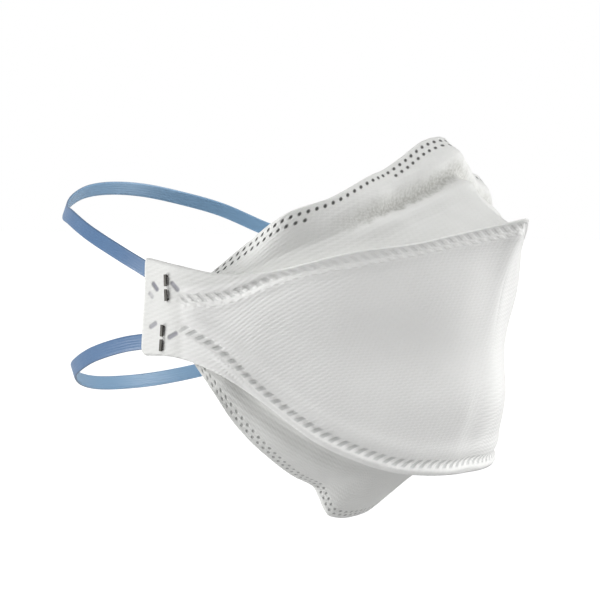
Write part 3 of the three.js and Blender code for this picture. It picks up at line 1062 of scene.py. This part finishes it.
@dataclass
class CentrePanel(Panel):
    """The panel round the front, with a flange beyond each seam and a flat tab at each end."""

    node: str = "centre_panel"
    welds: Welds = Welds.CENTRE
    spacing: float = 0.62
    flange_rows: int = 8
    belly_rows: int = 52
    low_ridges: tuple[Ridge, ...] = (
        Ridge(-0.4, 1.2, -0.5),
        Ridge(3.4, 2.0, 0.35),
        Ridge(-2.3, 1.0, 0.6),
    )
    high_valley: Ridge = Ridge(0.0, 1.2, -1.0)
    high_ridges: tuple[Ridge, ...] = (Ridge(-2.6, 1.3, 0.45), Ridge(1.9, 1.0, 0.3))
    waves: tuple[Wave, ...] = (Wave(17.0, 0.35, 3.0), Wave(6.0, 0.07, 9.0))
    low_corner: float = 2.4  # mm
    high_corner: float = 1.0  # mm

    def sheet(self) -> Sheet:
        """Lays out the panel's grid and its pattern coordinates.

        Returns:
            The sheet.
        """
        halves = [HalfTable(t) for t in (BOTTOM_EDGE, BOTTOM_SEAM, TOP_SEAM, TOP_EDGE)]
        belly = HalfTable(BELLY)
        stations = even_stations(halves[2], self.spacing)
        bottom_edge, bottom_seam, top_seam, top_edge = (h.line(stations) for h in halves)
        out = halves[2].outward(stations)
        swollen = [
            blend(bottom_seam, top_seam, (k + 1) / 4, out, belly.column(name, stations))
            for k, name in enumerate(("lower", "middle", "upper"))
        ]
        middle = section([bottom_seam, *swollen, top_seam], self.belly_rows)
        lower = np.linspace(bottom_edge, bottom_seam, self.flange_rows + 1, axis=1)[:, :-1]
        upper = np.linspace(top_seam, top_edge, self.flange_rows + 1, axis=1)[:, 1:]
        grid = soften(np.concatenate([lower, middle, upper], axis=1), 2)
        across = across_length(grid)
        low_row, high_row = self.flange_rows, self.flange_rows + self.belly_rows
        from_low = across - across[:, low_row : low_row + 1]
        from_high = across - across[:, high_row : high_row + 1]
        top_run = middle_run(top_seam)
        grid = raised(grid, self._relief(grid, from_low, from_high, top_run))
        maps = {
            "cloth": pairs(top_run, from_high),
            "lower_seam": pairs(middle_run(bottom_seam), from_low),
            "upper_seam": pairs(top_run, from_high),
        }
        grid = self._round_corners(grid)
        maps["tab"] = np.stack([-grid[:, :, 1], grid[:, :, 2]], axis=2)
        to_edge = np.minimum(across, across[:, -1:] - across)
        return Sheet("centre_cover", grid, pressed(self.cloth, self.margin, to_edge), maps)

    def _round_corners(self, grid: Array) -> Array:
        """Rounds the four corners of the tabs, the lower two more.

        Args:
            grid: the panel's points.

        Returns:
            The points with those near a corner drawn in.
        """
        out = grid.copy()
        for rows_step, radius in ((1, self.low_corner), (-1, self.high_corner)):
            for columns_step in (1, -1):
                part = grid[::columns_step, ::rows_step]
                to_end = across_length(part.transpose(1, 0, 2)).T
                to_side = across_length(part)
                along = np.clip(1 - to_end / radius, 0, 1)
                aside = np.clip(1 - to_side / radius, 0, 1)
                in_along = radius * along * (1 - np.sqrt(1 - aside**2 / 2))
                in_aside = radius * aside * (1 - np.sqrt(1 - along**2 / 2))
                drawn_in = unit(np.gradient(part, axis=0)) * in_along[:, :, None]
                drawn_in += unit(np.gradient(part, axis=1)) * in_aside[:, :, None]
                out[::columns_step, ::rows_step] += drawn_in
        return out

    def _relief(self, grid: Array, from_low: Array, from_high: Array, top_run: Array) -> Array:
        """Valleys at the seams, the puff of cloth beside them, and the cloth's own waves.

        Args:
            grid: the panel's points.
            from_low: distance up from the bottom seam, in mm.
            from_high: distance up from the top seam, in mm.
            top_run: length along the top seam from its middle, in mm.

        Returns:
            One distance for each point, in mm.
        """
        off_tab = smooth_share(-grid[:, :, 1], *TAB_ENDS)
        falls = smooth_share(np.abs(top_run), *TOP_ROW_FALLS)[:, None]
        from_row = from_high - (TOP_ROW - TOP_ROW_DROP * falls)
        relief = self.high_valley.rise(from_row) * (0.15 + 0.22 * falls)
        relief += sum(ridge.rise(from_low) for ridge in self.low_ridges)
        relief += sum(ridge.rise(from_row) for ridge in self.high_ridges)
        waves = sum(wave.rise(grid) for wave in self.waves)
        return relief * off_tab + waves * (0.3 + 0.7 * off_tab)


@dataclass
class NosePanel(Panel):
    """The panel over the nose: a shelf back from the seam, a crease, and a wall up to its edge."""

    node: str = "nose_panel"
    welds: Welds = Welds.NOSE
    gap: float = 0.35
    spacing: float = 0.65
    shelf_rows: int = 24
    wall_rows: int = 26
    fold_ends: Span = (3.8, 5.2)  # stations
    fold_ridges: tuple[Ridge, ...] = (
        Ridge(2.0, 2.4, -2.0),
        Ridge(7.5, 3.0, 0.8),
        Ridge(-2.6, 2.0, 0.9),
    )
    waves: tuple[Wave, ...] = (Wave(15.0, 0.4, 21.0), Wave(5.0, 0.07, 5.0))

    def sheet(self) -> Sheet:
        """Lays out the panel's grid and its pattern coordinates.

        Returns:
            The sheet.
        """
        seam, crease, edge, swell = (HalfTable(t) for t in (TOP_SEAM, NOSE_CREASE, NOSE_EDGE, SWELL))
        stations = even_stations(edge, self.spacing)
        out = seam.outward(stations)
        root = seam.line(stations) - out * (self.cloth + self.gap)
        fold, top = crease.line(stations), edge.line(stations)
        lift = unit(out + (0, 0, 1))
        on_shelf = blend(root, fold, 0.5, lift, swell.column("shelf", stations))
        on_wall = blend(fold, top, 0.5, out, swell.column("wall", stations))
        shelf = section([root, on_shelf, fold], self.shelf_rows)
        wall = section([fold, on_wall, top], self.wall_rows)
        grid = soften(np.concatenate([shelf, wall[:, 1:]], axis=1), 1)
        across = across_length(grid)
        from_fold = across - across[:, self.shelf_rows : self.shelf_rows + 1]
        from_edge = across[:, -1:] - across
        folded = 1 - smooth_share(np.abs(stations), *self.fold_ends)[:, None]
        relief = sum(ridge.rise(from_fold) for ridge in self.fold_ridges) * folded
        relief += sum(wave.rise(grid) for wave in self.waves)
        grid = raised(grid, relief * np.clip(across / 4.0, 0, 1))
        run = middle_run(top)
        maps = {
            "cloth": pairs(run, across),
            "edge": pairs(run, from_edge),
            "fold": np.stack([from_fold, np.broadcast_to(folded, from_fold.shape)], axis=2),
        }
        return Sheet("nose_cover", grid, pressed(self.cloth, self.margin, from_edge), maps)


@dataclass
class ChinPanel(Panel):
    """The panel under the chin, with a pull tab in the middle of its edge."""

    node: str = "chin_panel"
    welds: Welds = Welds.CHIN
    gap: float = 0.35
    spacing: float = 0.65
    across_rows: int = 46
    tab_half: float = 14.5
    tab_drop: float = 6.5
    tab_corner: float = 4.0
    waves: tuple[Wave, ...] = (Wave(14.0, 0.45, 33.0), Wave(5.0, 0.07, 15.0))

    def sheet(self) -> Sheet:
        """Lays out the panel's grid and its pattern coordinates.

        Returns:
            The sheet.
        """
        seam, edge, swell = (HalfTable(t) for t in (BOTTOM_SEAM, CHIN_EDGE, SWELL))
        stations = even_stations(edge, self.spacing)
        flat_out = seam.outward(stations)
        root = seam.line(stations) - flat_out * (self.cloth + self.gap)
        low = edge.line(stations)
        out = unit(flat_out - (0, 0, 1))
        tab_sides = self.tab_half - self.tab_corner, self.tab_half + self.tab_corner
        drop = self.tab_drop * (1 - smooth_share(np.abs(low[:, 0]), *tab_sides))
        tip = low - drop[:, None] * (0, 0, 1)
        hollow = blend(root, low, 0.32, out, swell.column("chinFront", stations))
        swollen = blend(root, low, 0.6, out, swell.column("chinBack", stations))
        grid = soften(section([root, hollow, swollen, tip], self.across_rows)[:, ::-1], 2)
        across = across_length(grid)
        from_root = across[:, -1:] - across
        relief = sum(wave.rise(grid) for wave in self.waves)
        grid = raised(grid, relief * np.clip(from_root / 5.0, 0, 1))
        place = pairs(middle_run(tip), across)
        maps = {"cloth": place, "edge": place}
        return Sheet("chin_cover", grid, pressed(self.cloth, self.margin, across), maps)


# ---- Headbands and staples -------------------------------------------


@dataclass
class Headband:
    """A flat elastic band from tab to tab round the back of the head, in mm."""

    name: str
    node: str
    table: Table
    width: float = 4.4
    thickness: float = 0.8
    steps: int = 360

    def build(self, material: Material) -> Object:
        """Sweeps the band's rounded section along its path and dresses it.

        Args:
            material: the band's material.

        Returns:
            The finished piece.
        """
        share = np.linspace(0, 1, self.steps + 1)
        right = [(-r["side"], r["back"], r["right_up"], r["lean"]) for r in self.table]
        left = [(r["side"], r["back"], r["left_up"], r["lean"]) for r in self.table[-2::-1]]
        route = np.array(right + left)
        centre = SmoothLine(route[:, :3]).at(share)
        leans = np.stack([np.arange(len(route)), route[:, 3]], axis=1)
        run = unit(np.gradient(centre, axis=0))
        tilt = np.radians(SmoothLine(leans, even=True).at(share)[:, 1])
        across = np.stack([np.zeros(len(tilt)), -np.sin(tilt), np.cos(tilt)], axis=1)
        across = unit(across - run * np.sum(across * run, axis=1, keepdims=True))
        out = np.cross(across, run)
        outline = self._outline()
        rings = centre[:, None] + across[:, None] * outline[:, :1] + out[:, None] * outline[:, 1:]
        length = run_length(centre)
        place = np.zeros(rings.shape)
        place[:, :, 0] = length[:, None]
        place[:, :, 1:] = outline
        faces = self._faces(len(rings), len(outline))
        piece = add_mesh(self.name, rings.reshape(-1, 3), faces, {"cloth": place})
        dress(piece, material, self.node)
        log.info("%s: %.0f mm long", piece.name, length[-1])
        return piece

    def _outline(self) -> Array:
        """Corners of the band's rounded section, as width and thickness."""
        half_w, half_t = self.width / 2, self.thickness / 2
        angles = np.radians(np.linspace(-90, 90, 7))
        end = np.stack([half_w - half_t + half_t * np.cos(angles), half_t * np.sin(angles)], axis=1)
        flat = np.linspace(half_w - half_t, half_t - half_w, 7)[1:-1]
        side = np.stack([flat, np.full(5, half_t)], axis=1)
        return np.vstack([end, side, -end, -side])

    @staticmethod
    def _faces(rings: int, corners: int) -> list[list[int]]:
        """Faces of the band and of its two ends.

        Args:
            rings: number of sections.
            corners: number of corners in a section.

        Returns:
            The faces, all facing out.
        """
        corner = np.arange(rings * corners).reshape(rings, corners)
        after = np.roll(corner, -1, axis=1)
        sides = np.stack([corner[:-1], corner[1:], after[1:], after[:-1]], axis=2).reshape(-1, 4)
        return [*sides.tolist(), corner[0].tolist(), corner[-1, ::-1].tolist()]


@dataclass
class Staple:
    """A flat wire staple through a tab, its legs bent over on the outside, in mm."""

    name: str
    node: str
    mirror: int
    forward: float
    up: float
    tilt_deg: float
    span: float = 8.4
    wire_width: float = 0.86
    wire_thickness: float = 0.45
    clinch_side: float = 62.575  # from the plane of symmetry to the middle of the legs' wire
    crown_side: float = 58.575
    tip_gap: float = 0.8
    bend: float = 0.5
    wear: float = 0.14  # rounding of the edges

    def build(self, material: Material) -> Object:
        """Extrudes and spins the wire's section along the staple, and dresses it.

        Args:
            material: the staple's material.

        Returns:
            The finished piece.
        """
        piece = self._start()
        outer, inner = self.clinch_side - self.bend, self.crown_side + self.bend
        top = self.span / 2 - self.bend
        leg = top - self.tip_gap / 2
        self._pull(up=leg)
        self._turn(outer, top)
        self._pull(side=inner - outer)
        self._turn(inner, top)
        self._pull(up=-2 * top)
        self._turn(inner, -top)
        self._pull(side=outer - inner)
        self._turn(outer, -top)
        self._pull(up=leg)
        bpy.ops.mesh.select_all(action="SELECT")
        bpy.ops.mesh.remove_doubles(threshold=1e-6)
        bpy.ops.mesh.normals_make_consistent(inside=False)
        bpy.ops.object.mode_set(mode="OBJECT")
        self._place(piece)
        bevel = piece.modifiers.new("worn edges", "BEVEL")
        bevel.width = self.wear * MM
        bevel.segments = 2
        bevel.angle_limit = math.radians(40)
        bpy.ops.object.modifier_apply(modifier=bevel.name)
        bpy.ops.object.shade_smooth_by_angle(angle=math.radians(35))
        dress(piece, material, self.node)
        log.info("%s: %d faces", piece.name, len(piece.data.polygons))
        return piece

    def _start(self) -> Object:
        """Adds the wire's section at the first leg's tip, selected and open for editing.

        Returns:
            The new object.
        """
        deselect_all()
        bpy.ops.mesh.primitive_plane_add(size=1.0, location=(0, 0, 0))
        piece = bpy.context.object
        piece.name = self.name
        piece.scale = (self.wire_thickness * MM, self.wire_width * MM, 1)
        bpy.ops.object.transform_apply(location=False, rotation=False, scale=True)
        piece.location = (self.clinch_side * MM, 0, self.tip_gap / 2 * MM)
        bpy.ops.object.transform_apply(location=True, rotation=False, scale=False)
        bpy.ops.object.mode_set(mode="EDIT")
        bpy.ops.mesh.select_mode(type="FACE")
        bpy.ops.mesh.select_all(action="SELECT")
        return piece

    @staticmethod
    def _pull(side: float = 0.0, up: float = 0.0) -> None:
        """Extrudes the selected end sideways or up, in mm."""
        bpy.ops.mesh.extrude_region_move(TRANSFORM_OT_translate={"value": (side * MM, 0, up * MM)})

    @staticmethod
    def _turn(side: float, up: float) -> None:
        """Spins the selected end by a quarter turn about an axis along Y, at a place in mm."""
        bpy.ops.mesh.spin(steps=5, angle=-math.pi / 2, center=(side * MM, 0, up * MM), axis=(0, 1, 0))

    def _place(self, piece: Object) -> None:
        """Tilts the staple, puts it on its tab and applies its place."""
        tilt = math.radians(self.tilt_deg) * self.mirror
        piece.rotation_euler = (tilt, 0, 0 if self.mirror > 0 else math.pi)
        piece.location = (0, (SEAT[1] - self.forward) * MM, (SEAT[2] + self.up) * MM)
        bpy.ops.object.transform_apply(location=True, rotation=True, scale=True)


# ---- Studio ----------------------------------------------------------


@dataclass(frozen=True)
class SoftLight:
    """A far soft light."""

    name: str
    turn_deg: float  # round the respirator from the camera, positive to the camera's right
    height_deg: float
    strength: float
    softness_deg: float = 34.0


@dataclass
class Studio:
    """Pale floor, soft light and the camera."""

    aim: tuple[float, float, float] = (-0.01399, 0.03747, -0.04457)
    eye: tuple[float, float, float] = (-0.6135, -0.4126, -0.01065)
    lens: float = 156.6
    ambient: float = 0.02  # light from all round on the cloth
    mirrored: float = 0.7  # brightness of the room in shiny surfaces
    floor_up: float = -0.42
    lights: tuple[SoftLight, ...] = (
        SoftLight("low_right_light", 86, -25, 0.36),
        SoftLight("right_light", 76, 0, 0.33),
        SoftLight("high_right_light", 86, 32, 0.52),
        SoftLight("low_left_light", 278, -25, 0.61),
        SoftLight("near_left_light", 305, 0, 0.24),
        SoftLight("high_left_light", 295, 30, 0.52),
        SoftLight("near_light", 0, 30, 0.12),
    )

    def build(self) -> None:
        """Builds the floor, the lights and the camera."""
        self._floor()
        self._world()
        for light in self.lights:
            self._light(light)
        self._camera()
        bpy.context.scene.view_settings.view_transform = "Standard"

    def _floor(self) -> None:
        """Adds the pale floor well below the respirator."""
        deselect_all()
        bpy.ops.mesh.primitive_plane_add(size=30.0, location=(0, 0, self.floor_up))
        floor = bpy.context.object
        floor.name = "studio_floor"
        material, g = start_material("pale_floor")
        seen = g.node("ShaderNodeLightPath").outputs["Is Camera Ray"]
        look = {"Base Color": (0.25, 0.25, 0.25, 1), "Roughness": 1.0, "Specular IOR Level": 0.0}
        g.surface(look | {"Emission Color": (1, 1, 1, 1), "Emission Strength": seen})
        floor.data.materials.append(material)
        floor.visible_diffuse = floor.visible_glossy = floor.visible_shadow = False

    def _world(self) -> None:
        """Gives the room an even white light, and a white backdrop."""
        world = bpy.data.worlds.new("white_room")
        world.use_nodes = True
        g = Graph(world.node_tree)
        ray = g.node("ShaderNodeLightPath").outputs
        seen = g.math("MAXIMUM", ray["Is Camera Ray"], g.mul(ray["Is Glossy Ray"], self.mirrored))
        strength = g.math("MAXIMUM", seen, self.ambient)
        light = g.node("ShaderNodeBackground", {"Color": (1, 1, 1, 1), "Strength": strength})
        g.node("ShaderNodeOutputWorld", {"Surface": light.outputs[0]})
        bpy.context.scene.world = world

    def _light(self, light: SoftLight) -> None:
        """Adds one light.

        Args:
            light: the light.
        """
        deselect_all()
        towards = Vector(self.eye) - Vector(self.aim)
        towards.z = 0
        towards.normalize()
        towards.rotate(Matrix.Rotation(math.radians(light.turn_deg), 3, "Z"))
        height = math.radians(light.height_deg)
        towards = towards * math.cos(height) + Vector((0, 0, math.sin(height)))
        bpy.ops.object.light_add(type="SUN", location=Vector(self.aim) + towards)
        lamp = bpy.context.object
        lamp.name = light.name
        lamp.data.energy = light.strength * math.pi
        lamp.data.angle = math.radians(light.softness_deg)
        lamp.rotation_euler = towards.to_track_quat("Z", "Y").to_euler()

    def _camera(self) -> None:
        """Adds the camera and makes it the scene's."""
        deselect_all()
        bpy.ops.object.camera_add(location=self.eye)
        camera = bpy.context.object
        camera.data.lens = self.lens
        camera.data.sensor_width = 36.0
        look = Vector(self.aim) - Vector(self.eye)
        camera.rotation_euler = look.to_track_quat("-Z", "Y").to_euler()
        bpy.context.scene.camera = camera


def main() -> None:
    """Builds and dresses the respirator, and sets the studio round it."""
    logging.basicConfig(level=logging.INFO, format="%(name)s: %(message)s")
    Studio().build()
    for panel in (CentrePanel(), NosePanel(), ChinPanel()):
        panel.build()
    elastic = ElasticFinish().material()
    Headband("upper_band", "upper_headband", UPPER_BAND).build(elastic)
    Headband("lower_band", "lower_headband", LOWER_BAND).build(elastic)
    steel = SteelFinish().material()
    for side, mirror in (("right", -1), ("left", 1)):
        Staple(f"upper_wire_{side}", f"upper_staple_{side}", mirror, 7.8, 5.2, -2.0).build(steel)
        Staple(f"lower_wire_{side}", f"lower_staple_{side}", mirror, 6.2, -8.7, 5.0).build(steel)


if __name__ == "__main__":
    main()
